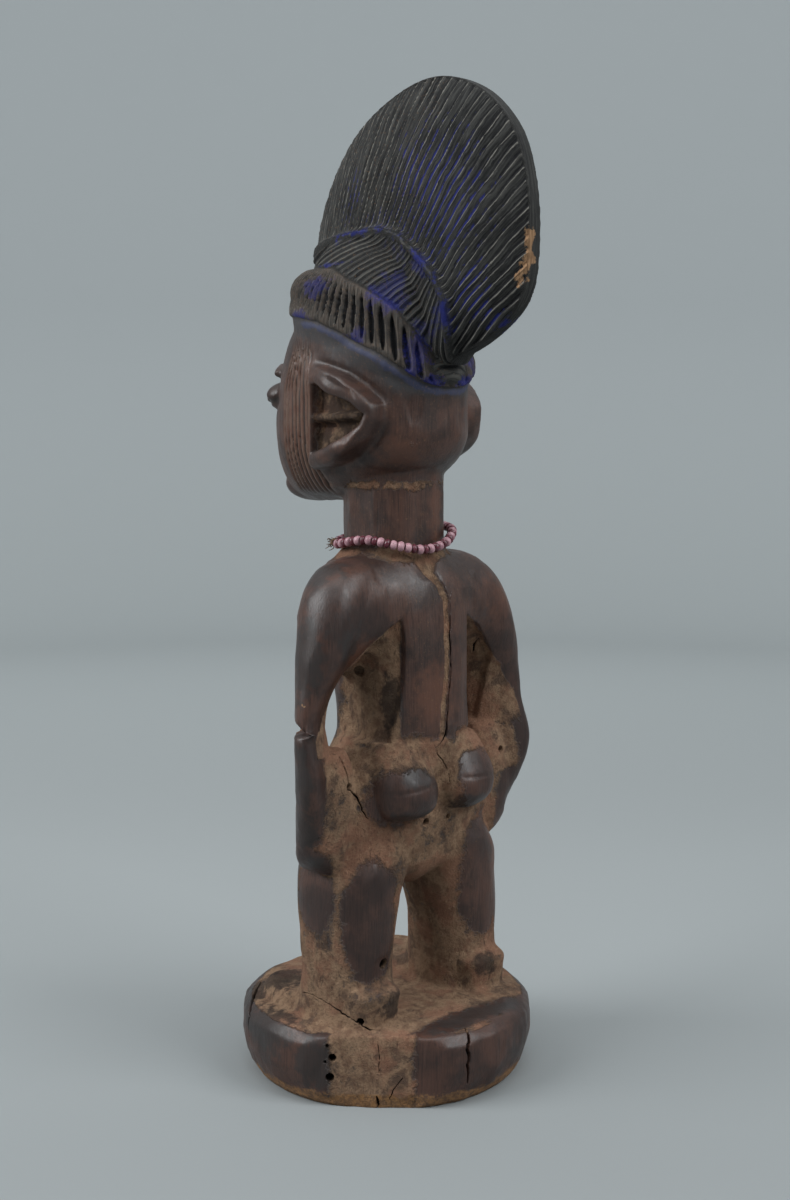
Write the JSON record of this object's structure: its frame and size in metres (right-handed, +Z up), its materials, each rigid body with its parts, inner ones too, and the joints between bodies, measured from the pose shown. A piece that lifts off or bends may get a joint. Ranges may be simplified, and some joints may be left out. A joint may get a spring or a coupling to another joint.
{
  "type": "carved wooden twin figure",
  "caption": "Standing carved wooden twin figure with a tall flattened hair crest, on a round base carved in one with it, wearing a string of small glass beads.",
  "frame": {"origin": "middle of the flat underside of the round base", "axes": "+Z up through the head, the figure faces -Y, its left side is +X"},
  "size_m": [0.0894, 0.1002, 0.2801],
  "materials": {
    "carved_wood": "old dark hardwood, hand-polished to a satin gloss on the raised parts, with a dull reddish-tan earth crust in the hollows and ultramarine pigment in the black hair",
    "pink_glass": "opaque dusty pink glass, dulled by wear",
    "wine_red_glass": "dark wine red glass, satin",
    "brown_fibre": "matte twisted plant fibre"
  },
  "bodies": {
    "root": {"figure": "carved_wood", "thread": "brown_fibre", "bead_01": "pink_glass", "bead_02": "wine_red_glass", "bead_03": "pink_glass", "bead_04": "wine_red_glass", "bead_05": "pink_glass", "bead_06": "wine_red_glass", "bead_07": "pink_glass", "bead_08": "wine_red_glass", "bead_09": "pink_glass", "bead_10": "wine_red_glass", "bead_11": "pink_glass", "bead_12": "wine_red_glass", "bead_13": "pink_glass", "bead_14": "pink_glass", "bead_15": "pink_glass", "bead_16": "wine_red_glass", "bead_17": "pink_glass", "bead_18": "wine_red_glass", "bead_19": "pink_glass", "bead_20": "wine_red_glass", "bead_21": "pink_glass", "bead_22": "wine_red_glass", "bead_23": "pink_glass", "bead_24": "wine_red_glass", "bead_25": "pink_glass", "bead_26": "wine_red_glass", "bead_27": "pink_glass", "bead_28": "wine_red_glass", "bead_29": "pink_glass", "bead_30": "wine_red_glass", "bead_31": "pink_glass", "bead_32": "pink_glass", "bead_33": "pink_glass", "bead_34": "wine_red_glass", "bead_35": "pink_glass", "bead_36": "wine_red_glass", "bead_37": "pink_glass", "bead_38": "wine_red_glass", "bead_39": "pink_glass", "bead_40": "wine_red_glass", "bead_41": "pink_glass", "bead_42": "wine_red_glass", "bead_43": "pink_glass", "bead_44": "wine_red_glass", "bead_45": "pink_glass", "bead_46": "wine_red_glass", "bead_47": "pink_glass", "bead_48": "wine_red_glass", "bead_49": "pink_glass", "bead_50": "pink_glass", "bead_51": "pink_glass", "bead_52": "wine_red_glass", "bead_53": "pink_glass", "bead_54": "wine_red_glass"}
  },
  "joints": []
}
